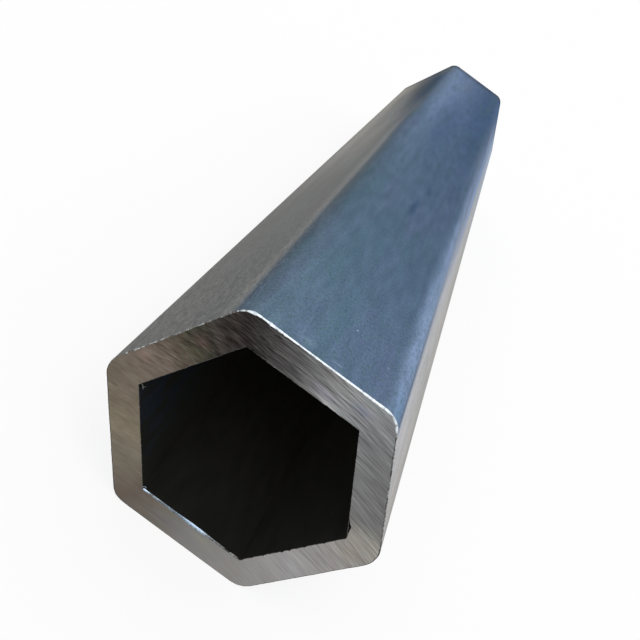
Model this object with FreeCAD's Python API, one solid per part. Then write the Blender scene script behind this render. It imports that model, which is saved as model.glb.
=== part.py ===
"""Hexagonal steel tube: a short sawn length of heavy-walled drawn stock, lying on one of its flats.

The outside is a regular hexagon with rounded corners, the bore a regular hexagon with nearly sharp
ones, and the two share one centre, so the wall is even. Both ends are cut square, and the cut edges
are broken lightly, more outside than in the bore. Lengths are in millimetres.

X runs across the corners, Y along the tube and Z up. The origin is under the middle of the tube, on
the flat that it lies on.
"""
import FreeCAD, Part
import math
import os

# Driving dimensions of the section and of the cut length
ACROSS_FLATS = 50.0
WALL = 6.0
CORNER_RADIUS = 4.5
BORE_CORNER_RADIUS = 0.4
LENGTH = 320.0

# Width of the chamfer that the deburring leaves along the cut edges
OUTER_EDGE_BREAK = 0.35
BORE_EDGE_BREAK = 0.2

# The form itself
SIDES = 6
CORNER_TURN = 2 * math.pi / SIDES

# What follows from the dimensions
BORE_ACROSS_FLATS = ACROSS_FLATS - 2 * WALL
AXIS_HEIGHT = ACROSS_FLATS / 2
NEAR_END = -LENGTH / 2
FAR_END = LENGTH / 2


def section_point(centre_distance, corner_angle, radius, angle):
    """A point at radius and angle round the arc centre of one corner, in the plane of the near end."""
    x = centre_distance * math.cos(corner_angle) + radius * math.cos(angle)
    z = centre_distance * math.sin(corner_angle) + radius * math.sin(angle)
    return FreeCAD.Vector(x, NEAR_END, AXIS_HEIGHT + z)


def corner_arc(across_flats, radius, corner_angle):
    """The arc that rounds one corner, tangent to the flats on both sides of it."""
    half_turn = CORNER_TURN / 2
    centre_distance = (across_flats / 2 - radius) / math.cos(half_turn)
    start, middle, end = (
        section_point(centre_distance, corner_angle, radius, corner_angle + turn)
        for turn in (-half_turn, 0.0, half_turn)
    )
    return Part.Arc(start, middle, end)


def hexagon(across_flats, radius):
    """A closed hexagon with rounded corners, with a flat at its top and at its bottom."""
    arcs = [corner_arc(across_flats, radius, corner * CORNER_TURN) for corner in range(SIDES)]
    edges = []
    for arc, next_arc in zip(arcs, arcs[1:] + arcs[:1]):
        edges.append(arc.toShape())
        edges.append(Part.LineSegment(arc.EndPoint, next_arc.StartPoint).toShape())
    return Part.Wire(edges)


def drawn_bar(across_flats, radius):
    """A solid hexagonal bar from the near end to the far one."""
    return Part.Face(hexagon(across_flats, radius)).extrude(FreeCAD.Vector(0, LENGTH, 0))


def drawn_tube():
    """The outside form with the bore taken out of it."""
    outside = drawn_bar(ACROSS_FLATS, CORNER_RADIUS)
    bore = drawn_bar(BORE_ACROSS_FLATS, BORE_CORNER_RADIUS)
    return outside.cut(bore)


def cut_edges(tube, outer):
    """The edges round both sawn ends, either those of the outside or those of the bore."""
    mid_wall = (ACROSS_FLATS - WALL) / 2
    found = []
    for edge in tube.Edges:
        middle = edge.valueAt((edge.FirstParameter + edge.LastParameter) / 2)
        bearing = math.atan2(middle.z - AXIS_HEIGHT, middle.x)
        from_flat = bearing % CORNER_TURN - CORNER_TURN / 2
        height_over_axis = math.hypot(middle.x, middle.z - AXIS_HEIGHT) * math.cos(from_flat)
        on_a_sawn_end = math.isclose(abs(middle.y), FAR_END)
        if on_a_sawn_end and (height_over_axis > mid_wall) == outer:
            found.append(edge)
    return found


def deburred(tube):
    """The tube with its cut edges broken, outside first and then in the bore."""
    tube = tube.makeChamfer(OUTER_EDGE_BREAK, cut_edges(tube, outer=True))
    return tube.makeChamfer(BORE_EDGE_BREAK, cut_edges(tube, outer=False))


os.makedirs("parts", exist_ok=True)
hex_tube = deburred(drawn_tube())
hex_tube.exportStep("parts/hex_tube.step")
print("hex_tube valid", hex_tube.isValid(), "solids", len(hex_tube.Solids), "faces", len(hex_tube.Faces))
print("volume mm3", round(hex_tube.Volume, 1), "box", hex_tube.BoundBox)
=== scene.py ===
"""Looks of a short sawn length of heavy-walled hexagonal steel tube, lying on one of its flats.

The drawn skin is a satin blue-grey, with painted reflections that make it bluest on top and pale on
the right, and painted highlights along the corners. The ends are bare metal with the marks of the
saw, darkened at the upper left by a painted reflection; the cut edges carry a ragged bevel with a
painted highlight on top and a few burrs, and the bore is nearly black, lighter deeper in by painted light.

The tube lies along Y, X runs across its corners and Z is up. Lengths are in metres. Directions round
the section are in degrees from +X, so the top flat faces 90 and the corners are at 0, 60, 120 and so
on. On the finishes, lengths are in millimetres.
"""
import math
import bpy
import numpy as np
from mathutils import Euler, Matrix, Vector


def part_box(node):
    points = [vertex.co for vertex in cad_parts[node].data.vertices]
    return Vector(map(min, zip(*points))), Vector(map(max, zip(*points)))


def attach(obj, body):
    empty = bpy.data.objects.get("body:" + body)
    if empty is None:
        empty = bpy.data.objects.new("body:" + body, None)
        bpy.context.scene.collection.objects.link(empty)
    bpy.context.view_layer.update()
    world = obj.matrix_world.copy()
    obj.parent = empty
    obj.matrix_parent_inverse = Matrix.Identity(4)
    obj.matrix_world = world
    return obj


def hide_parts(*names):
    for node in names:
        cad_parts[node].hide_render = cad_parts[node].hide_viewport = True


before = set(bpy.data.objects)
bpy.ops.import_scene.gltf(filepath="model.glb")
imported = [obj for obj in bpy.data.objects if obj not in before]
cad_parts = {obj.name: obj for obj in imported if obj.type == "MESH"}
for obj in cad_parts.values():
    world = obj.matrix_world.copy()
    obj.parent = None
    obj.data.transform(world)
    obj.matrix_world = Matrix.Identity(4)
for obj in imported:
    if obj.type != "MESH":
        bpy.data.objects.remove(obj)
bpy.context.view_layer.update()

MM = 0.001

# The tube's own dimensions, the outer ones from the frame
TUBE_LOW, TUBE_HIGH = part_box("hex_tube")
NEAR_END = TUBE_LOW.y
FAR_END = TUBE_HIGH.y
ACROSS_FLATS = TUBE_HIGH.z - TUBE_LOW.z
AXIS_HEIGHT = (TUBE_HIGH.z + TUBE_LOW.z) / 2
WALL = 6.0 * MM
CORNER_RADIUS = 4.5 * MM
BORE_CORNER_RADIUS = 0.4 * MM

# Fineness of the mesh: steps round the section, rings in each stretch, gaps between the rings and
# how far from the ends the plain stretches of the skin and the bore begin
SIDES = 6
ARC_STEPS = 14
FLAT_STEPS = 102
NEAR_FACE_RINGS = 40
FAR_FACE_RINGS = 22
BEVEL_RINGS = 4
SKIN_RING_GROWTH = 1.32
BORE_RING_GROWTH = 1.8
FIRST_RING_GAP = 0.25 * MM
SKIN_FROM_END = 0.55 * MM
BORE_FROM_END = 2.4 * MM

# Tables of {direction: value} say what holds where an edge faces that way, with even change between

# The near end's outer edge: width of the bevel in millimetres, how bright it is at the skin, from 0 to
# 1, what is left of that at the sawn face, and how much width and brightness change from place to place.
# The brightness is painted: a painted highlight where it is high and a painted shade line where it is
# low. The change in width is ragged wear of the edge.
NEAR_BEVEL = {
    30: 0.24, 45: 0.23, 60: 0.25, 90: 0.22, 105: 0.26, 120: 0.2, 135: 0.15, 150: 0.13, 210: 0.24, 270: 0.16,
    330: 0.2,
}
NEAR_SHINE = {
    0: 0.1, 30: 0.6, 45: 0.92, 60: 1.0, 90: 0.97, 105: 1.0, 120: 0.8, 138: 0.42, 150: 0.36, 180: 0.15,
    210: 0.0, 330: 0.0,
}
NEAR_SHINE_LEFT = {0: 1.0, 30: 0.1, 42: 0.5, 60: 1.0, 330: 1.0}
NEAR_WEAR_AND_GLINT = {
    0: 0.2, 30: 0.4, 45: 0.5, 60: 0.45, 90: 0.35, 105: 0.6, 120: 0.8, 150: 0.5, 180: 0.2, 210: 0.1,
    330: 0.15,
}
WIDE_BEVELS = (
    # place (x, z) and reach in millimetres, and the share that the bevel gains there
    (-9.0, 50.0, 3.6, 0.45),
    (12.5, 49.5, 7.0, 0.35),
)

# How far the saw has pushed the near end's outer edge out, in millimetres, and how far along the tube
# that shows
NEAR_LIP = {0: 0.0, 180: 0.0, 210: 0.2, 235: 0.3, 262: 0.0, 278: 0.0, 300: 0.15, 330: 0.2}
LIP_LENGTH = 6 * MM

# The far end's edges: width of the bevel and of the break in the bore in millimetres, and brightness,
# which is a painted highlight
FAR_BEVEL = 0.3
FAR_SHINE = 0.4
FAR_BORE_BREAK = 0.12
FAR_BORE_SHINE = 0.05

# The near end's edge in the bore: width of the break and of the burr in millimetres, and how bright it is,
# which is a painted highlight
BORE_BREAK = {30: 0.06, 90: 0.06, 150: 0.08, 210: 0.08, 240: 0.18, 270: 0.3, 300: 0.2, 330: 0.06}
BORE_BURR = {30: 0.05, 90: 0.12, 150: 0.08, 210: 0.04, 240: 0.0, 300: 0.0, 330: 0.08}
BORE_SHINE = {30: 0.06, 90: 0.05, 150: 0.12, 210: 0.04, 270: 0.05, 330: 0.05}
BORE_GLEAMS = (
    # place (x, z) on the floor of the bore and reach, in millimetres, and strength of the painted glint
    # there
    (-10.6, 6.0, 1.8, 0.34),
    (-7.0, 6.0, 2.5, 0.1),
    (0.7, 6.0, 4.2, 0.3),
    (9.6, 6.0, 1.2, 0.1),
)
BORE_EDGE_PROFILE = (
    # depth and break left, as shares of the break; burr and torn edge left
    (0.35, 0.45, 0.85, 0.95),
    (0.75, 0.1, 1.0, 0.9),
    (1.3, 0.0, 0.9, 0.8),
    (2.4, 0.0, 0.5, 0.6),
    (5.0, 0.0, 0.1, 0.3),
)

# The widest part of the burr that is rolled over under the bore: place (x, z) and reach in millimetres,
# and the share that the break gains there
ROLL_PLACE = (0.7, 6.0)
ROLL_REACH = 5.0
ROLL_GAIN = 0.8

# The torn corner of the bore at the right: place (x, z), reach and how far it is torn into the wall, in
# millimetres
NICK_PLACE = (21.0, 27.2)
NICK_REACH = 2.1
NICK_DEPTH = 0.5

# Small burrs left in the bore's corners: path (x, z), thickness and depth in millimetres, brightness,
# which is a painted highlight
BURRS = (
    (((19.9, 28.9), (20.3, 28.0), (20.8, 27.2), (21.2, 26.4), (21.7, 25.6), (21.9, 25.1)), 0.12, 0.5, 0.12),
    (((-21.7, 25.5), (-21.4, 25.5), (-21.2, 25.3), (-21.1, 25.0), (-20.9, 24.8)), 0.09, 0.3, 0.34),
    (((-21.1, 25.3), (-20.9, 25.5), (-20.7, 25.4)), 0.08, 0.3, 0.3),
    (((-11.3, 6.1), (-11.1, 6.5), (-10.8, 6.7), (-10.5, 6.6)), 0.1, 0.4, 0.5),
)

# The saw's marks are arcs of the blade, whose centre lay under the tube
SAW_CENTRE = (-9 * MM, -120 * MM)
SAW_RADIUS = 120 * MM

# Depth of the saw's cut below the end's plane in millimetres, and of its waves and ledges about that
SAW_DEPTH = 0.075
WAVE_DEPTH = 0.028
RIPPLE_DEPTH = 0.014
LEDGE_DEPTH = 0.022
LEDGES = 9

# Hollow of the skin, its change from place to place and the bore's unevenness, in millimetres
SKIN_HOLLOW = 0.022
SKIN_WAVES = 0.022
BORE_WAVES = 0.03

# Where an edge in the bore is brighter than this, the finish of a cut edge reaches further in
DEEP_EDGE_SHINE = 0.2

# Finishes, in the order of the piece's material slots
SKIN, SAWN, EDGE, BORE = range(4)

# Camera: focal length and principal point in pixels of the square picture
PICTURE_SIDE = 640
FOCAL_LENGTH_PX = 772.2
PRINCIPAL_POINT_PX = (257.9, 355.2)
CAMERA_EYE = (-0.00961, -0.26203, 0.10886)
CAMERA_AZIMUTH = 0.47
CAMERA_ELEVATION = -32.41
CAMERA_ROLL = 36.81
SENSOR_WIDTH = 36.0

# Studio light
AMBIENT_LEVEL = 0.85
KEY_FROM = (0.08, -0.5, 0.86)
KEY_LEVEL = 0.5
KEY_ANGLE = 40.0
FLOOR_HALF_SIDE = 40.0
FLOOR_WHITE = 0.99
FLOOR_LIFT = 0.84


# Shapes round the section

def unit(degrees):
    """Unit vector in the plane of the section."""
    return np.array([math.cos(math.radians(degrees)), math.sin(math.radians(degrees))])


def section_directions():
    """The direction in which the outline faces at each of its points."""
    directions = []
    for corner in range(SIDES):
        middle = corner * 360 / SIDES
        directions.extend(middle - 30 + 60 * np.arange(ARC_STEPS) / ARC_STEPS)
        directions.extend([middle + 30] * FLAT_STEPS)
    return np.array(directions)


def hexagon(across_flats, radius):
    """Points (x, height over the axis) of a hexagon with rounded corners, one for each direction."""
    centre_distance = (across_flats / 2 - radius) / math.cos(math.radians(30))
    points = []
    for corner in range(SIDES):
        middle = corner * 360 / SIDES
        centre = centre_distance * unit(middle)
        next_centre = centre_distance * unit(middle + 60)
        for step in range(ARC_STEPS):
            points.append(centre + radius * unit(middle - 30 + 60 * step / ARC_STEPS))
        for step in range(FLAT_STEPS):
            share = step / FLAT_STEPS
            points.append(centre + (next_centre - centre) * share + radius * unit(middle + 30))
    return np.array(points)


FACING = section_directions()
POINTS_ROUND = len(FACING)
TURN = np.arange(POINTS_ROUND) / POINTS_ROUND
OUTWARD = np.column_stack([np.cos(np.radians(FACING)), np.sin(np.radians(FACING))])
OUTSIDE = hexagon(ACROSS_FLATS, CORNER_RADIUS)
BORE_OUTLINE = hexagon(ACROSS_FLATS - 2 * WALL, BORE_CORNER_RADIUS)


def moved_out(section, distance):
    """The section's points moved away from the axis, each at right angles to its side."""
    return section + OUTWARD * np.broadcast_to(distance, POINTS_ROUND)[:, None]


def smoothstep(low, high, value):
    """0 below low, 1 above high and a smooth rise between them."""
    t = np.clip((value - low) / (high - low), 0.0, 1.0)
    return t * t * (3 - 2 * t)


def wave_noise(u, v, seed, period=256):
    """Smooth noise between -1 and 1 on a unit lattice, which repeats every period cells along u."""
    table = np.random.default_rng(seed).uniform(-1, 1, (period, 256))
    u, v = np.broadcast_arrays(u, v)
    i, j = np.floor(u).astype(int), np.floor(v).astype(int)
    s, t = smoothstep(0, 1, u - i), smoothstep(0, 1, v - j)
    i0, i1, j0, j1 = i % period, (i + 1) % period, j % 256, (j + 1) % 256
    low = table[i0, j0] * (1 - s) + table[i1, j0] * s
    high = table[i0, j1] * (1 - s) + table[i1, j1] * s
    return low * (1 - t) + high * t


def ragged(cells, seed):
    """Noise between -1 and 1 round the outline, with that many cells in a turn."""
    return wave_noise(TURN * cells, 0.5, seed, period=cells)


def by_facing(values):
    """A value for each point, from values given for directions that the outline faces."""
    directions, given = zip(*sorted(values.items()))
    return np.interp(FACING, directions, given, period=360)


def on_side(direction, reach=1):
    """1 where the outline faces within that many degrees of a direction, 0 elsewhere."""
    return (np.abs(FACING - direction) < reach) * 1.0


def near_place(points, place, reach):
    """1 at a place of the section, given in millimetres, falling to 0 at that reach from it."""
    away = np.hypot(points[:, 0] - place[0] * MM, points[:, 1] + AXIS_HEIGHT - place[1] * MM)
    return 1 - smoothstep(0, reach * MM, away)


# The mesh: rings of points, one behind the other

def ring(section, y, shine=0.0):
    """One ring of the mesh: its points and the painted highlight or shade of its metal where an edge is
    cut.
    """
    points = np.empty((POINTS_ROUND, 3))
    points[:, 0] = section[:, 0]
    points[:, 1] = y
    points[:, 2] = section[:, 1] + AXIS_HEIGHT
    return points, np.array(np.broadcast_to(shine, POINTS_ROUND))


def growing_gaps(first, growth, reach):
    """Distances from an end towards the middle, each gap longer than the one before it."""
    distances = [0.0]
    gap = first
    while distances[-1] + gap < reach:
        distances.append(distances[-1] + gap)
        gap *= growth
    return np.array(distances)


def both_ways(distances, reach):
    """Those distances from both ends of a stretch of twice that reach, in order."""
    return np.concatenate([distances, 2 * reach - distances[::-1]])


def saw_relief(section, seed):
    """How deep the saw has cut at points of an end, below the end's plane."""
    across = np.hypot(section[:, 0] - SAW_CENTRE[0], section[:, 1] - SAW_CENTRE[1]) - SAW_RADIUS
    along = section[:, 0]
    depth = WAVE_DEPTH * wave_noise(across / (1.7 * MM), along / (30 * MM), seed)
    depth += RIPPLE_DEPTH * wave_noise(across / (0.6 * MM), along / (14 * MM), seed + 1)
    ledges = np.random.default_rng(seed + 2).uniform(-25 * MM, 25 * MM, LEDGES)
    for index, ledge in enumerate(ledges):
        depth += LEDGE_DEPTH * (-1) ** index * smoothstep(-0.1 * MM, 0.1 * MM, across - ledge)
    return (depth + SAW_DEPTH).clip(0.0, None) * MM


def near_lip(y):
    """How far the outside stands out at that place of the tube, from the near end's saw burr."""
    return by_facing(NEAR_LIP) * MM * (1 - smoothstep(0, LIP_LENGTH, y - NEAR_END))


def end_block(end, inward, seed, face_rings, outer_edge, inner_edge):
    """The rings of one end, from its outer bevel over the sawn face into the bore, and its strips."""
    bevel, shine, shine_left = outer_edge
    bore_break, burr, torn, bore_shine = inner_edge
    rings, strips = [], []
    outside = moved_out(OUTSIDE, near_lip(end))
    face_edge = moved_out(outside, -bevel)
    bore_edge = moved_out(BORE_OUTLINE, bore_break - 0.35 * burr + torn)
    edge_depth = saw_relief(face_edge, seed)
    bore_depth = saw_relief(bore_edge, seed)
    for step in range(BEVEL_RINGS + 1):
        turn = math.pi / 2 * (1 - step / BEVEL_RINGS)
        section = moved_out(outside, -bevel * (1 - math.sin(turn)))
        depth = edge_depth + bevel * (1 - math.cos(turn))
        ring_shine = shine * (1 - (1 - shine_left) * step / BEVEL_RINGS)
        rings.append(ring(section, end + inward * depth, ring_shine))
    strips += [EDGE] * BEVEL_RINGS
    deep = bore_shine > DEEP_EDGE_SHINE
    face_shine = np.where(deep, 0.25 + 0.2 * bore_shine, bore_shine)
    for step in range(1, face_rings + 1):
        share = step / face_rings
        section = face_edge * (1 - share) + bore_edge * share
        rings.append(ring(section, end + inward * saw_relief(section, seed), face_shine))
    strips += [SAWN] * face_rings
    width = np.maximum(bore_break, 0.12 * MM)
    for depth, break_left, burr_left, torn_left in BORE_EDGE_PROFILE:
        section = moved_out(BORE_OUTLINE, bore_break * break_left - burr * burr_left + torn * torn_left)
        rings.append(ring(section, end + inward * (bore_depth + depth * width), bore_shine))
        bright = depth < 0.5 or (depth < 1) * deep
        strips.append(np.where(bright, EDGE, BORE))
    return rings, strips


def skin_block():
    """The rings of the drawn skin between the two bevels, nearly flat and a hair inside the section."""
    middle = (NEAR_END + FAR_END) / 2
    reach = FAR_END - middle - SKIN_FROM_END
    places = both_ways(growing_gaps(FIRST_RING_GAP, SKIN_RING_GROWTH, reach), reach)
    rings = []
    for place in places:
        y = middle - reach + place
        hollow = SKIN_HOLLOW + SKIN_WAVES * wave_noise(TURN * 9, y / (70 * MM), 31, period=9)
        rings.append(ring(moved_out(OUTSIDE, near_lip(y) - hollow * MM), y))
    return rings, [SKIN] * (len(rings) - 1)


def bore_block():
    """The rings of the bore, from the far end to the near one."""
    middle = (NEAR_END + FAR_END) / 2
    reach = FAR_END - middle - BORE_FROM_END
    places = both_ways(growing_gaps(3 * FIRST_RING_GAP, BORE_RING_GROWTH, reach), reach)
    rings = []
    for place in places:
        y = middle + reach - place
        unevenness = BORE_WAVES * wave_noise(TURN * 24, y / (40 * MM), 41, period=24)
        rings.append(ring(moved_out(BORE_OUTLINE, unevenness * MM), y))
    return rings, [BORE] * (len(rings) - 1)


def near_end_block():
    """The end in full view: ragged bevel, painted highlight on top, painted glints on the rolled burr, torn
    corners.
    """
    wider = np.zeros(POINTS_ROUND)
    for x, z, reach, share in WIDE_BEVELS:
        wider += share * near_place(OUTSIDE, (x, z), reach)
    wear_and_glint = by_facing(NEAR_WEAR_AND_GLINT) + 0.6 * wider
    unevenness = 1 + wider + wear_and_glint * ragged(348, 51) + 0.25 * ragged(POINTS_ROUND, 52)
    bevel = by_facing(NEAR_BEVEL) * unevenness.clip(0.3, None) * MM
    # the bevel's brightness is a painted highlight, with painted shade where it is low
    shine = by_facing(NEAR_SHINE) + wear_and_glint * (0.7 * ragged(POINTS_ROUND, 57) + 0.35 * ragged(264, 60))
    rolled = on_side(270, 29)
    widest = ROLL_GAIN * near_place(BORE_OUTLINE, ROLL_PLACE, ROLL_REACH) * rolled
    bore_break = by_facing(BORE_BREAK) * (1 + widest + (0.3 - 0.15 * rolled) * ragged(174, 53)) * MM
    burr = by_facing(BORE_BURR) * (0.8 + 0.35 * ragged(232, 58)) * MM
    torn = 0.05 * (1 + ragged(348, 54)) + 0.2 * on_side(330) * ragged(290, 55).clip(0, 1)
    torn = torn * (1 - rolled)
    nick = near_place(BORE_OUTLINE, NICK_PLACE, NICK_REACH) * (FACING < 31)
    torn = (torn + nick * (NICK_DEPTH + 0.25 * ragged(290, 59))) * MM
    # painted glints along the rolled burr under the bore and along the bore's top edge
    gleam = 0.27 - 0.14 * smoothstep(2.5 * MM, 6.5 * MM, BORE_OUTLINE[:, 0])
    for x, z, reach, strength in BORE_GLEAMS:
        gleam += strength * near_place(BORE_OUTLINE, (x, z), reach)
    gleam *= rolled * (1 + 0.3 * ragged(116, 56) + 0.2 * ragged(348, 62))
    bore_shine = by_facing(BORE_SHINE) + gleam
    bore_shine += 0.5 * on_side(90) * ragged(290, 63).clip(0, 1)
    shine_left = by_facing(NEAR_SHINE_LEFT) + wear_and_glint * ragged(232, 64)
    outer_edge = bevel, shine.clip(0, 1), shine_left.clip(0, 1)
    inner_edge = bore_break, burr, torn, bore_shine.clip(0, 1)
    return end_block(NEAR_END, 1, 61, NEAR_FACE_RINGS, outer_edge, inner_edge)


def far_end_block():
    """The hidden end, sawn and deburred like the near one."""
    bevel = FAR_BEVEL * (1 + 0.2 * ragged(232, 71) + 0.15 * ragged(POINTS_ROUND, 72)) * MM
    even = np.ones(POINTS_ROUND)
    torn = 0.05 * (1 + ragged(232, 73)) * MM
    no_burr = 0.0 * even
    outer_edge = bevel, FAR_SHINE + 0.2 * ragged(58, 74), even
    inner_edge = FAR_BORE_BREAK * MM * even, no_burr, torn, FAR_BORE_SHINE * even
    return end_block(FAR_END, -1, 81, FAR_FACE_RINGS, outer_edge, inner_edge)


def ribbon(path, thickness, width):
    """A closed strip of metal along a path of points (x, z) on the near end, set into it by its width."""
    points, faces = [], []
    path = np.array(path) * MM
    for index, place in enumerate(path):
        ahead = path[min(index + 1, len(path) - 1)] - path[max(index - 1, 0)]
        side = np.array([-ahead[1], ahead[0]]) / np.hypot(*ahead)
        taper = 0.35 + 0.65 * math.sin(math.pi * (index + 0.5) / len(path))
        for across, depth in ((-0.5, 0.05), (0.5, 0.05), (0.5, width), (-0.5, width)):
            x, z = place + side * across * thickness * taper * MM
            points.append((x, NEAR_END + depth * MM, z))
    for index in range(len(path) - 1):
        for corner in range(4):
            a, b = index * 4 + corner, index * 4 + (corner + 1) % 4
            faces.append((a, b, b + 4, a + 4))
    faces.append((3, 2, 1, 0))
    last = (len(path) - 1) * 4
    faces.append((last, last + 1, last + 2, last + 3))
    return np.array(points), faces


def tube_piece():
    """The whole tube as one mesh, closed all round, with its burrs."""
    near_rings, near_strips = near_end_block()
    far_rings, far_strips = far_end_block()
    skin_rings, skin_strips = skin_block()
    bore_rings, bore_strips = bore_block()
    rings = skin_rings + far_rings + bore_rings + near_rings[::-1]
    strips = skin_strips + [SKIN] + far_strips + [BORE] + bore_strips + [BORE] + near_strips[::-1] + [SKIN]
    points = np.concatenate([points for points, shine in rings])
    shine = np.concatenate([shine for points, shine in rings])
    count = len(rings)
    row = np.arange(count)[:, None]
    column = np.arange(POINTS_ROUND)[None, :]
    next_row, next_column = (row + 1) % count, (column + 1) % POINTS_ROUND
    corners = [
        row * POINTS_ROUND + column,
        row * POINTS_ROUND + next_column,
        next_row * POINTS_ROUND + next_column,
        next_row * POINTS_ROUND + column,
    ]
    faces = np.stack([np.broadcast_to(c, (count, POINTS_ROUND)) for c in corners], -1).reshape(-1, 4)
    finish = np.concatenate([np.broadcast_to(strip, POINTS_ROUND) for strip in strips])
    faces = [tuple(face) for face in faces.tolist()]
    for path, thickness, width, burr_shine in BURRS:
        burr_points, burr_faces = ribbon(path, thickness, width)
        start = len(points)
        faces += [tuple(corner + start for corner in face) for face in burr_faces]
        points = np.concatenate([points, burr_points])
        shine = np.concatenate([shine, np.full(len(burr_points), burr_shine)])
        finish = np.concatenate([finish, np.full(len(burr_faces), EDGE)])
    mesh = bpy.data.meshes.new("tube")
    mesh.from_pydata(points.tolist(), [], faces)
    mesh.attributes.new("shine", "FLOAT", "POINT").data.foreach_set("value", shine)
    for material in (skin_material(), sawn_material(), edge_material(), bore_material()):
        mesh.materials.append(material)
    mesh.polygons.foreach_set("material_index", finish.astype(int))
    mesh.polygons.foreach_set("use_smooth", np.isin(finish, (SKIN, SAWN)))
    mesh.update()
    piece = bpy.data.objects.new("tube", mesh)
    bpy.context.scene.collection.objects.link(piece)
    return piece


# Finishes

def display(red, green, blue):
    """A colour given as it shows on screen, from 0 to 255, as linear values."""
    values = []
    for level in (red, green, blue):
        level /= 255
        values.append(level / 12.92 if level <= 0.04045 else ((level + 0.055) / 1.055) ** 2.4)
    return (*values, 1.0)


class Finish:
    """A material's node tree, with short calls for the nodes that the finishes share."""

    def __init__(self, name):
        self.material = bpy.data.materials.new(name)
        self.material.use_nodes = True
        self.nodes = self.material.node_tree.nodes
        self.links = self.material.node_tree.links
        self.shader = self.nodes["Principled BSDF"]
        coordinates = self.nodes.new("ShaderNodeTexCoord")
        self.place = self.vector("SCALE", coordinates.outputs["Object"], scale=1 / MM)
        separate = self.node("ShaderNodeSeparateXYZ", self.place)
        self.x, self.y, self.z = separate.outputs

    def node(self, kind, *inputs):
        """A node with its first inputs linked or set."""
        made = self.nodes.new(kind)
        for socket, value in zip(made.inputs, inputs):
            self.give(socket, value)
        return made

    def give(self, socket, value):
        """Links an output to a socket or sets the socket to a plain value."""
        if isinstance(value, bpy.types.NodeSocket):
            self.links.new(value, socket)
        elif value is not None:
            socket.default_value = value

    def vector(self, operation, first, second=None, scale=None):
        """Vector arithmetic, for which LENGTH gives a number and the rest a vector."""
        made = self.nodes.new("ShaderNodeVectorMath")
        made.operation = operation
        self.give(made.inputs[0], first)
        self.give(made.inputs[1], second)
        if scale is not None:
            self.give(made.inputs["Scale"], scale)
        return made.outputs["Value" if operation == "LENGTH" else "Vector"]

    def math(self, operation, *values):
        """Arithmetic on plain values or outputs."""
        made = self.nodes.new("ShaderNodeMath")
        made.operation = operation
        for socket, value in zip(made.inputs, values):
            self.give(socket, value)
        return made.outputs[0]

    def combine(self, x, y, z):
        """A vector from its three parts."""
        return self.node("ShaderNodeCombineXYZ", x, y, z).outputs[0]

    def noise(self, place, scale, detail=2.0, roughness=0.5, distortion=0.0):
        """Noise between 0 and 1, mostly near one half."""
        made = self.nodes.new("ShaderNodeTexNoise")
        self.give(made.inputs["Vector"], place)
        made.inputs["Scale"].default_value = scale
        made.inputs["Detail"].default_value = detail
        made.inputs["Roughness"].default_value = roughness
        made.inputs["Distortion"].default_value = distortion
        return made.outputs["Fac"]

    def spread(self, value, low, high, to_low=0.0, to_high=1.0, smooth=True):
        """The value moved from one range to another, and held there."""
        made = self.nodes.new("ShaderNodeMapRange")
        made.interpolation_type = "SMOOTHSTEP" if smooth else "LINEAR"
        for socket, given in zip(made.inputs, (value, low, high, to_low, to_high)):
            self.give(socket, given)
        return made.outputs[0]

    def product(self, first, *others):
        """The product of several values."""
        for other in others:
            first = self.math("MULTIPLY", first, other)
        return first

    def mix(self, share, first, second, blend="MIX"):
        """The first colour, with that share of the second over it."""
        made = self.nodes.new("ShaderNodeMix")
        made.data_type = "RGBA"
        made.blend_type = blend
        made.clamp_factor = True
        self.give(made.inputs["Factor"], share)
        colours = [socket for socket in made.inputs if socket.type == "RGBA"]
        self.give(colours[0], first)
        self.give(colours[1], second)
        return next(socket for socket in made.outputs if socket.type == "RGBA")

    def brighter(self, colour, factor):
        """The colour times a factor."""
        return self.vector("SCALE", colour, scale=factor)

    def ramp(self, share, stops):
        """A colour ramp with stops (position, colour)."""
        made = self.nodes.new("ShaderNodeValToRGB")
        self.give(made.inputs[0], share)
        elements = made.color_ramp.elements
        elements[0].position, elements[0].color = stops[0]
        elements[1].position, elements[1].color = stops[-1]
        for position, colour in stops[1:-1]:
            elements.new(position).color = colour
        return made.outputs["Color"]

    def bump(self, height, distance, normal=None):
        """Relief that only the light sees, as deep as the distance in millimetres."""
        made = self.nodes.new("ShaderNodeBump")
        made.inputs["Strength"].default_value = 1.0
        made.inputs["Distance"].default_value = distance * MM
        self.give(made.inputs["Height"], height)
        self.give(made.inputs["Normal"], normal)
        return made.outputs[0]

    def stretched(self, x, y, z):
        """The place in millimetres, with each axis divided by that length."""
        return self.vector("DIVIDE", self.place, (x, y, z))

    def patch(self, centre, radii):
        """1 at the centre of a soft oval patch, 0 outside its radii."""
        away = self.vector("DIVIDE", self.vector("SUBTRACT", self.place, centre), radii)
        return self.spread(self.vector("LENGTH", away), 1.0, 0.0)

    def marked(self, colour, marks):
        """The colour with soft patches of other tones over it."""
        for centre, radii, tone, strength in marks:
            share = self.math("MULTIPLY", self.patch(centre, radii), strength)
            colour = self.mix(share, colour, tone)
        return colour

    def turn(self):
        """Where a point is round the section, from 0 at the bottom over 0.25 at the right to 1."""
        height = self.math("SUBTRACT", self.z, AXIS_HEIGHT / MM)
        angle = self.math("ARCTAN2", height, self.x)
        turns = self.math("ADD", self.math("DIVIDE", angle, 2 * math.pi), 1.25)
        return self.math("FRACT", turns)


def turn_at(degrees):
    """The turn() of a direction round the section."""
    return (degrees + 90) % 360 / 360


def round_stops(tones):
    """Ramp stops from (direction, colour) pairs, closed at the bottom."""
    stops = sorted((turn_at(degrees), colour) for degrees, colour in tones)
    return [(0.0, stops[0][1]), *stops[1:], (1.0, stops[0][1])]
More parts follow.
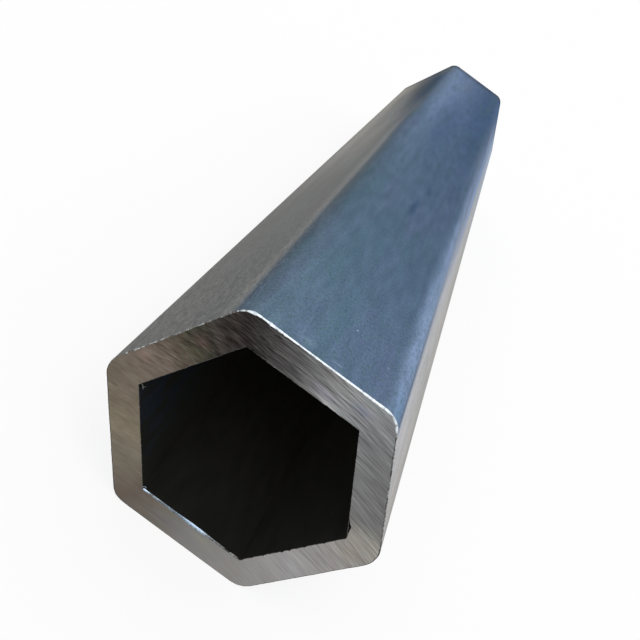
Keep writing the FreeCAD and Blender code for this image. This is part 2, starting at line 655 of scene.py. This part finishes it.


# Tones of the skin round the section, at the near end and at the far one. They are blue-grey steel with
# painted reflections: bluest on top, grey on the left and pale on the right at the near end, with a
# painted highlight in a blue band at the right corner and a pale painted highlight line with a dark
# line beside it at the left corner. The reflections change along the tube.
HIDDEN_TONE = display(104, 113, 124)
NEAR_TONES = (
    (-90, HIDDEN_TONE),
    (-30, HIDDEN_TONE),
    (-6, display(182, 182, 180)),
    (4, display(198, 194, 188)),
    (20, display(217, 213, 208)),
    (50.5, display(228, 226, 229)),
    (53.5, display(192, 199, 212)),
    (57.5, display(162, 184, 216)),
    (61.5, display(158, 181, 214)),
    (65.5, display(103, 121, 147)),
    (90, display(102, 125, 147)),
    (112, display(106, 128, 147)),
    (117, display(105, 123, 140)),
    (123.6, display(104, 113, 119)),
    (126, display(150, 149, 146)),
    (128.5, display(149, 147, 144)),
    (132, display(136, 135, 131)),
    (174, display(142, 139, 134)),
    (182, display(150, 146, 138)),
    (210, HIDDEN_TONE),
)
FAR_TONES = (
    (-90, HIDDEN_TONE),
    (-30, HIDDEN_TONE),
    (12, display(193, 214, 240)),
    (38, display(128, 158, 200)),
    (48, display(84, 118, 164)),
    (54, display(64, 101, 154)),
    (64, display(66, 102, 139)),
    (72, display(67, 102, 142)),
    (90, display(103, 129, 167)),
    (112, display(139, 164, 202)),
    (119, display(110, 134, 163)),
    (122.4, display(76, 94, 112)),
    (126, display(62, 79, 99)),
    (135, display(78, 89, 101)),
    (148, display(90, 90, 93)),
    (172, display(178, 173, 160)),
    (210, HIDDEN_TONE),
)

# Patches over the skin's tones: place, radii, colour and strength. The blue band beside the right
# corner, the dark lines along that corner and the teal at its near end are painted highlight and
# painted reflection; the small dark marks, spots and scratch on top are marks on the steel; the other
# bands make the tones lighter or darker along the tube.
SKIN_MARKS = (
    ((-20.5, 5.0, 35.0), (9.0, 85.0, 12.0), display(196, 188, 180), 0.34),
    ((-26.0, 15.0, 29.5), (4.0, 110.0, 7.0), display(204, 196, 186), 0.5),
    # painted highlight: a blue band beside the right corner
    ((18.3, 10.0, 44.0), (4.8, 105.0, 7.0), display(150, 188, 244), 0.6),
    # painted reflection: dark lines along the right corner
    ((13.2, 10.0, 49.6), (2.2, 110.0, 3.0), display(84, 100, 116), 0.35),
    ((12.6, -45.0, 50.0), (1.5, 75.0, 3.0), display(92, 116, 140), 0.65),
    ((20.0, 165.0, 41.0), (7.0, 62.0, 13.0), display(58, 84, 124), 0.9),
    ((-15.5, 150.0, 46.0), (4.0, 32.0, 7.0), display(118, 120, 122), 0.75),
    ((-23.9, 105.0, 33.7), (3.5, 30.0, 5.0), display(100, 104, 112), 0.35),
    # painted highlight tint and painted dark line at the right corner by the near end
    ((14.3, -158.0, 48.8), (2.6, 12.0, 3.0), display(112, 152, 182), 0.5),
    ((15.5, -150.0, 48.2), (0.6, 75.0, 3.0), display(104, 114, 142), 0.7),
    ((-3.0, 30.0, 50.0), (7.0, 75.0, 4.0), display(70, 98, 140), 0.4),
    ((1.1, -70.0, 50.0), (1.5, 12.0, 4.0), display(58, 80, 124), 0.5),
    ((2.6, -50.0, 50.0), (1.6, 9.0, 4.0), display(64, 88, 128), 0.35),
    ((-3.8, -157.3, 50.0), (2.6, 1.6, 4.0), display(150, 170, 196), 0.35),
    ((2.4, -144.2, 50.0), (0.28, 0.45, 4.0), display(200, 216, 232), 0.55),
    ((9.9, -148.5, 50.0), (0.28, 0.45, 4.0), display(196, 208, 226), 0.45),
    ((2.1, -157.6, 50.0), (1.6, 0.22, 4.0), display(200, 214, 230), 0.4),
)

# Where the skin is duller than elsewhere: place, radii and roughness added
SKIN_DULL = (
    ((-17.5, 115.0, 45.0), (6.0, 110.0, 9.0), 0.3),
    ((16.8, 165.0, 46.0), (5.0, 70.0, 9.0), 0.25),
)


def skin_tone_and_reflections(f):
    """The skin's tone with its painted reflections, which goes over from the near one to the far one along
    the tube.
    """
    turn = f.turn()
    near = f.ramp(turn, round_stops(NEAR_TONES))
    far = f.ramp(turn, round_stops(FAR_TONES))
    sooner_at_the_corner = f.spread(f.x, 14.5, 16.5, 0, 60)
    later_on_the_right = f.spread(f.x, 17, 24, 0, -110)
    place = f.math("ADD", f.math("ADD", f.y, sooner_at_the_corner), later_on_the_right)
    away_from_corner = f.spread(f.x, -16, -21, 0, 40)
    change_from = f.math("ADD", f.spread(f.x, -14.2, -15.8, -90, -50), away_from_corner)
    change_to = f.math("ADD", f.spread(f.x, -14.2, -15.8, 110, 80), away_from_corner)
    return f.mix(f.spread(place, change_from, change_to), near, far)


def skin_tints(f, colour, clouds, on_top):
    """That tone with violet and teal clouds on top, with its patches and with painted shade along the far
    edge.
    """
    violet = f.math("MULTIPLY", f.spread(clouds, 0.4, 0.75, 0, 0.28), on_top)
    colour = f.mix(violet, colour, display(112, 120, 156))
    teal = f.noise(f.stretched(3, 26, 3), 1.0, detail=1, distortion=0.3)
    teal = f.math("MULTIPLY", f.spread(teal, 0.48, 0.74, 0, 0.25), on_top)
    colour = f.mix(teal, colour, display(92, 124, 136))
    colour = f.marked(colour, SKIN_MARKS)
    # painted shade: the far edge, turned away from view, shows as a dark band
    painted_far_edge_shade = f.spread(f.y, FAR_END / MM - 15, FAR_END / MM - 1, 0, 0.6)
    return f.mix(painted_far_edge_shade, colour, display(60, 70, 84))


def skin_shade(f, lines, grain, close, on_left):
    """Factors round 1 for the skin's drawn lines, blots, grain and mottle."""
    blots = f.noise(f.stretched(1.6, 9, 1.6), 1.0, detail=2)
    mottle = f.noise(f.stretched(0.5, 2.6, 0.5), 1.0, detail=2, roughness=0.6)
    close_on_left = f.product(on_left, close)
    blot_shade = f.spread(blots, 0.2, 0.8, -0.15, 0.15, smooth=False)
    grain_shade = f.spread(grain, 0.2, 0.8, -0.28, 0.28, smooth=False)
    mottle_shade = f.spread(mottle, 0.2, 0.8, -0.4, 0.4, smooth=False)
    grain_vigour = f.math("ADD", f.spread(close, 0, 1, 0.55, 1), f.math("MULTIPLY", close_on_left, 0.6))
    return f.product(
        f.spread(lines, 0.2, 0.8, 0.98, 1.02, smooth=False),
        f.math("MULTIPLY_ADD", blot_shade, f.spread(on_left, 0, 1, 1, 0.4), 1.0),
        f.math("MULTIPLY_ADD", grain_shade, grain_vigour, 1.0),
        f.math("MULTIPLY_ADD", mottle_shade, close_on_left, 1.0),
    )


def skin_material():
    """Drawn, lightly oiled steel: satin, blue-grey, cloudy along the tube, with a fine grain and painted
    reflections.
    """
    f = Finish("drawn skin")
    on_top = f.spread(f.z, 46, 48.5)
    on_left = f.spread(f.x, -13.8, -15.8)
    close = f.spread(f.y, -60, NEAR_END / MM)
    clouds = f.noise(f.stretched(5, 45, 5), 1.0, detail=1)
    lines = f.noise(f.stretched(0.7, 40, 0.7), 1.0, detail=2)
    grain = f.noise(f.stretched(0.42, 0.7, 0.42), 1.0, detail=2, roughness=0.6)
    speckle = f.noise(f.stretched(0.7, 1.3, 0.7), 1.0, detail=1)
    speckle = f.product(f.spread(speckle, 0.5, 0.7, 0, 0.35), on_top, close)
    colour = skin_tints(f, skin_tone_and_reflections(f), clouds, on_top)
    colour = f.mix(speckle, colour, display(92, 122, 122))
    shade = skin_shade(f, lines, grain, close, on_left)
    f.give(f.shader.inputs["Base Color"], f.brighter(colour, shade))
    f.shader.inputs["Metallic"].default_value = 1.0
    f.shader.inputs["Specular Tint"].default_value = (0.36, 0.38, 0.4, 1.0)
    roughness = f.spread(clouds, 0.3, 0.7, 0.34, 0.44)
    for centre, radii, more in SKIN_DULL:
        roughness = f.math("MULTIPLY_ADD", f.patch(centre, radii), more, roughness)
    f.give(f.shader.inputs["Roughness"], roughness)
    bumped = f.bump(grain, 0.012)
    f.give(f.shader.inputs["Normal"], f.bump(lines, 0.004, normal=bumped))
    return f.material


# Tones of the sawn face round the section: bare metal with a painted reflection, warm and dark at the
# upper left and pale at the right
SAWN_TONES = (
    (-90, display(137, 136, 135)),
    (-60, display(152, 151, 150)),
    (-35, display(165, 165, 167)),
    (-12, display(160, 158, 157)),
    (3, display(160, 158, 152)),
    (13, display(124, 125, 126)),
    (42, display(125, 127, 128)),
    (62, display(142, 145, 149)),
    (78, display(148, 151, 152)),
    (98, display(91, 91, 92)),
    (120, display(54, 50, 50)),
    (131, display(67, 63, 60)),
    (142, display(72, 71, 62)),
    (151, display(98, 91, 82)),
    (161, display(120, 110, 102)),
    (192, display(122, 114, 101)),
    (203, display(135, 127, 111)),
    (222, display(127, 121, 109)),
    (240, display(111, 102, 94)),
    (258, display(122, 120, 113)),
)

# How strongly the saw's marks show round the section, the fine ones and the coarse ones
SAW_VIGOUR = (
    (-90, 0.12, 0.2),
    (-60, 0.25, 0.3),
    (-35, 0.32, 0.5),
    (-10, 0.7, 0.5),
    (30, 0.85, 0.6),
    (60, 1.15, 0.7),
    (90, 1.6, 0.9),
    (115, 2.0, 1.3),
    (150, 1.2, 1.3),
    (170, 0.35, 0.9),
    (210, 0.22, 0.65),
    (245, 0.2, 0.4),
)

# Stains on the sawn face: place, radii, colour and strength
SAWN_MARKS = (
    ((3.3, -160.0, 45.7), (4.5, 4.0, 1.6), display(126, 114, 142), 0.3),
    ((9.3, -160.0, 47.2), (2.8, 4.0, 1.5), display(132, 142, 168), 0.35),
    ((-17.3, -160.0, 39.8), (2.4, 4.0, 2.0), display(122, 94, 90), 0.26),
    ((-23.8, -160.0, 30.5), (2.6, 4.0, 2.0), display(140, 112, 106), 0.25),
    ((-17.5, -160.0, 37.2), (2.8, 4.0, 1.4), display(88, 90, 66), 0.32),
    ((-4.0, -160.0, 2.8), (7.0, 4.0, 1.8), display(112, 106, 122), 0.25),
    ((3.6, -160.0, 4.5), (3.6, 4.0, 1.5), display(138, 138, 116), 0.3),
    ((24.3, -160.0, 22.4), (2.6, 4.0, 2.4), display(158, 148, 132), 0.3),
)


def sawn_material():
    """Bare metal with the fine arcs of the saw and a painted reflection: warm and dark at the upper left,
    pale at the right.
    """
    f = Finish("sawn end")
    from_centre = f.combine(
        f.math("SUBTRACT", f.x, SAW_CENTRE[0] / MM),
        0.0,
        f.math("SUBTRACT", f.z, (SAW_CENTRE[1] + AXIS_HEIGHT) / MM),
    )
    radius = f.math("SUBTRACT", f.vector("LENGTH", from_centre), SAW_RADIUS / MM)
    along = f.math("ADD", f.x, f.spread(f.x, -29, -7, -30, 0, smooth=False))

    def lines(pitch, length, tilt, detail, layer):
        """Noise drawn out along the blade's arcs, or a little across them, less so on the left."""
        across = f.math("MULTIPLY_ADD", f.x, tilt, radius)
        place = f.combine(f.math("DIVIDE", across, pitch), f.math("DIVIDE", along, length), layer)
        return f.noise(place, 1.0, detail=detail, roughness=0.6)

    def streaks(noise, amount):
        """Factors round 1 from noise round one half."""
        return f.spread(noise, 0.25, 0.75, 1 - amount, 1 + amount, smooth=False)

    fine, crossing = lines(0.22, 4.0, 0.0, 2, 0), lines(0.3, 8, 0.07, 1, 9)
    medium, broad = lines(0.65, 7.0, -0.03, 2, 17), lines(2.4, 10, 0.03, 1, 31)
    hairlines, scratches = lines(0.4, 15, -0.05, 0, 47), lines(0.5, 11, 0.05, 0, 63)
    colour = f.ramp(f.turn(), round_stops(SAWN_TONES))
    stain = f.mix(f.spread(medium, 0.35, 0.65), display(134, 102, 94), display(114, 118, 100))
    colour = f.mix(0.22, colour, stain, blend="OVERLAY")
    colour = f.marked(colour, SAWN_MARKS)
    fine_shade = f.product(
        streaks(fine, 0.3),
        streaks(crossing, 0.26),
        f.spread(hairlines, 0.28, 0.34, 0.7, 1.0),
        f.spread(scratches, 0.68, 0.74, 1.0, 1.3),
    )
    coarse_shade = f.product(streaks(medium, 0.26), streaks(broad, 0.18))
    vigour = f.ramp(f.turn(), round_stops([(facing, (a, b, 0.0, 1.0)) for facing, a, b in SAW_VIGOUR]))
    vigour = f.node("ShaderNodeSeparateXYZ", vigour).outputs
    shade = f.product(
        f.math("MULTIPLY_ADD", f.math("SUBTRACT", fine_shade, 1.0), vigour[0], 1.0),
        f.math("MULTIPLY_ADD", f.math("SUBTRACT", coarse_shade, 1.0), vigour[1], 1.0),
    )
    f.give(f.shader.inputs["Base Color"], f.brighter(colour, shade))
    f.shader.inputs["Metallic"].default_value = 1.0
    f.shader.inputs["Specular Tint"].default_value = (0.6, 0.6, 0.6, 1.0)
    f.give(f.shader.inputs["Roughness"], f.spread(medium, 0.3, 0.7, 0.36, 0.5))
    f.give(f.shader.inputs["Normal"], f.bump(fine, 0.01))
    return f.material


# Tones of a cut edge, from dull to bright: a painted shade line at the dull end and a painted highlight at
# the bright end
EDGE_TONES = (
    (0.0, display(48, 48, 47)),
    (0.3, display(112, 110, 106)),
    (0.55, display(182, 188, 192)),
    (1.0, display(238, 247, 255)),
)


def edge_material():
    """The broken edge: a painted highlight where it is bright and a painted shade where it is dull."""
    f = Finish("cut edge")
    shine = f.nodes.new("ShaderNodeAttribute")
    shine.attribute_name = "shine"
    mottle = f.noise(f.place, 3.0, detail=3, roughness=0.6)
    share = f.math("ADD", shine.outputs["Fac"], f.spread(mottle, 0.2, 0.8, -0.25, 0.25, smooth=False))
    colour = f.ramp(share, EDGE_TONES)
    # the painted glints under the bore take a blue tint
    under_the_bore = f.patch((-3.0, NEAR_END / MM, 6.0), (18.0, 6.0, 3.0))
    colour = f.mix(under_the_bore, colour, display(206, 228, 250), blend="MULTIPLY")
    f.give(f.shader.inputs["Base Color"], colour)
    f.shader.inputs["Metallic"].default_value = 1.0
    f.shader.inputs["Specular Tint"].default_value = (0.5, 0.5, 0.5, 1.0)
    f.give(f.shader.inputs["Roughness"], f.spread(mottle, 0.3, 0.7, 0.25, 0.45))
    f.give(f.shader.inputs["Normal"], f.bump(mottle, 0.02))
    return f.material


def bore_material():
    """The inside, dark with scale and oil, faintly blue at the left of the near end, and lighter deeper in
    by painted light.
    """
    f = Finish("bore")
    scale = f.noise(f.stretched(2, 9, 2), 1.0, detail=3)
    # painted light: the bore grows lighter deeper in, in place of light that would come in from the far end
    depth = f.spread(f.y, NEAR_END / MM, NEAR_END / MM + 75)
    colour = f.mix(depth, display(34, 34, 31), display(76, 74, 66))
    blue = f.product(f.spread(f.x, -12, -18), f.spread(f.z, 28, 21), f.spread(scale, 0.35, 0.6))
    colour = f.mix(f.math("MULTIPLY", blue, 0.7), colour, display(30, 38, 50))
    f.give(f.shader.inputs["Base Color"], f.brighter(colour, f.spread(scale, 0.2, 0.8, 0.85, 1.15)))
    f.give(f.shader.inputs["Roughness"], f.spread(scale, 0.3, 0.7, 0.75, 0.9))
    f.shader.inputs["Specular IOR Level"].default_value = 0.03
    f.give(f.shader.inputs["Normal"], f.bump(scale, 0.03))
    return f.material


# Studio

def seen_directly(tree):
    """1 for rays from the camera, from a mirror or through glass, 0 for those that light things."""
    rays = tree.nodes.new("ShaderNodeLightPath")
    seen = rays.outputs["Is Camera Ray"]
    for name in ("Is Glossy Ray", "Is Transmission Ray"):
        either = tree.nodes.new("ShaderNodeMath")
        either.operation = "MAXIMUM"
        tree.links.new(seen, either.inputs[0])
        tree.links.new(rays.outputs[name], either.inputs[1])
        seen = either.outputs[0]
    return seen


def level_by_rays(tree, unseen, seen):
    """One level for rays that light things and another for those that see directly."""
    level = tree.nodes.new("ShaderNodeMapRange")
    level.inputs["To Min"].default_value = unseen
    level.inputs["To Max"].default_value = seen
    tree.links.new(seen_directly(tree), level.inputs["Value"])
    return level.outputs[0]


def studio_world():
    """White behind the tube and in its reflections, and a plain level of light all round."""
    world = bpy.data.worlds.new("studio")
    world.use_nodes = True
    tree = world.node_tree
    background = tree.nodes["Background"]
    background.inputs["Color"].default_value = (1.0, 1.0, 1.0, 1.0)
    tree.links.new(level_by_rays(tree, AMBIENT_LEVEL, 1.0), background.inputs["Strength"])
    bpy.context.scene.world = world


def floor():
    """A wide pale floor that keeps the tube's shadow, lifted towards white where it is seen."""
    side = FLOOR_HALF_SIDE
    mesh = bpy.data.meshes.new("floor")
    corners = [(-side, -side, 0), (side, -side, 0), (side, side, 0), (-side, side, 0)]
    mesh.from_pydata(corners, [], [(0, 1, 2, 3)])
    material = bpy.data.materials.new("pale floor")
    material.use_nodes = True
    tree = material.node_tree
    shader = tree.nodes["Principled BSDF"]
    shader.inputs["Base Color"].default_value = (FLOOR_WHITE, FLOOR_WHITE, FLOOR_WHITE, 1.0)
    shader.inputs["Roughness"].default_value = 1.0
    shader.inputs["Specular IOR Level"].default_value = 0.0
    white = tree.nodes.new("ShaderNodeEmission")
    blend = tree.nodes.new("ShaderNodeMixShader")
    tree.links.new(level_by_rays(tree, 0.0, FLOOR_LIFT), blend.inputs["Fac"])
    tree.links.new(shader.outputs["BSDF"], blend.inputs[1])
    tree.links.new(white.outputs["Emission"], blend.inputs[2])
    tree.links.new(blend.outputs["Shader"], tree.nodes["Material Output"].inputs["Surface"])
    mesh.materials.append(material)
    made = bpy.data.objects.new("floor", mesh)
    bpy.context.scene.collection.objects.link(made)
    return made


def key_light():
    """One large soft lamp, over and a little behind the camera."""
    lamp = bpy.data.lights.new("key", "SUN")
    lamp.energy = KEY_LEVEL
    lamp.angle = math.radians(KEY_ANGLE)
    made = bpy.data.objects.new("key", lamp)
    made.rotation_euler = Vector(KEY_FROM).to_track_quat("Z", "Y").to_euler()
    bpy.context.scene.collection.objects.link(made)


def camera():
    """The photograph's camera, rolled to one side, with the frame's crop as its shift."""
    data = bpy.data.cameras.new("camera")
    data.sensor_width = SENSOR_WIDTH
    data.lens = SENSOR_WIDTH * FOCAL_LENGTH_PX / PICTURE_SIDE
    data.shift_x = 0.5 - PRINCIPAL_POINT_PX[0] / PICTURE_SIDE
    data.shift_y = PRINCIPAL_POINT_PX[1] / PICTURE_SIDE - 0.5
    data.clip_start = 0.01
    data.clip_end = 3 * FLOOR_HALF_SIDE
    made = bpy.data.objects.new("camera", data)
    bearing = Euler((0, 0, -math.radians(CAMERA_AZIMUTH))).to_matrix()
    tilt = Euler((math.radians(90 + CAMERA_ELEVATION), 0, 0)).to_matrix()
    roll = Euler((0, 0, math.radians(CAMERA_ROLL))).to_matrix()
    made.rotation_euler = (bearing @ tilt @ roll).to_euler()
    made.location = CAMERA_EYE
    bpy.context.scene.collection.objects.link(made)
    bpy.context.scene.camera = made


camera()
studio_world()
key_light()
floor()
tube = tube_piece()
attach(tube, "root")
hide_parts("hex_tube")
bpy.context.scene.view_settings.view_transform = "Standard"
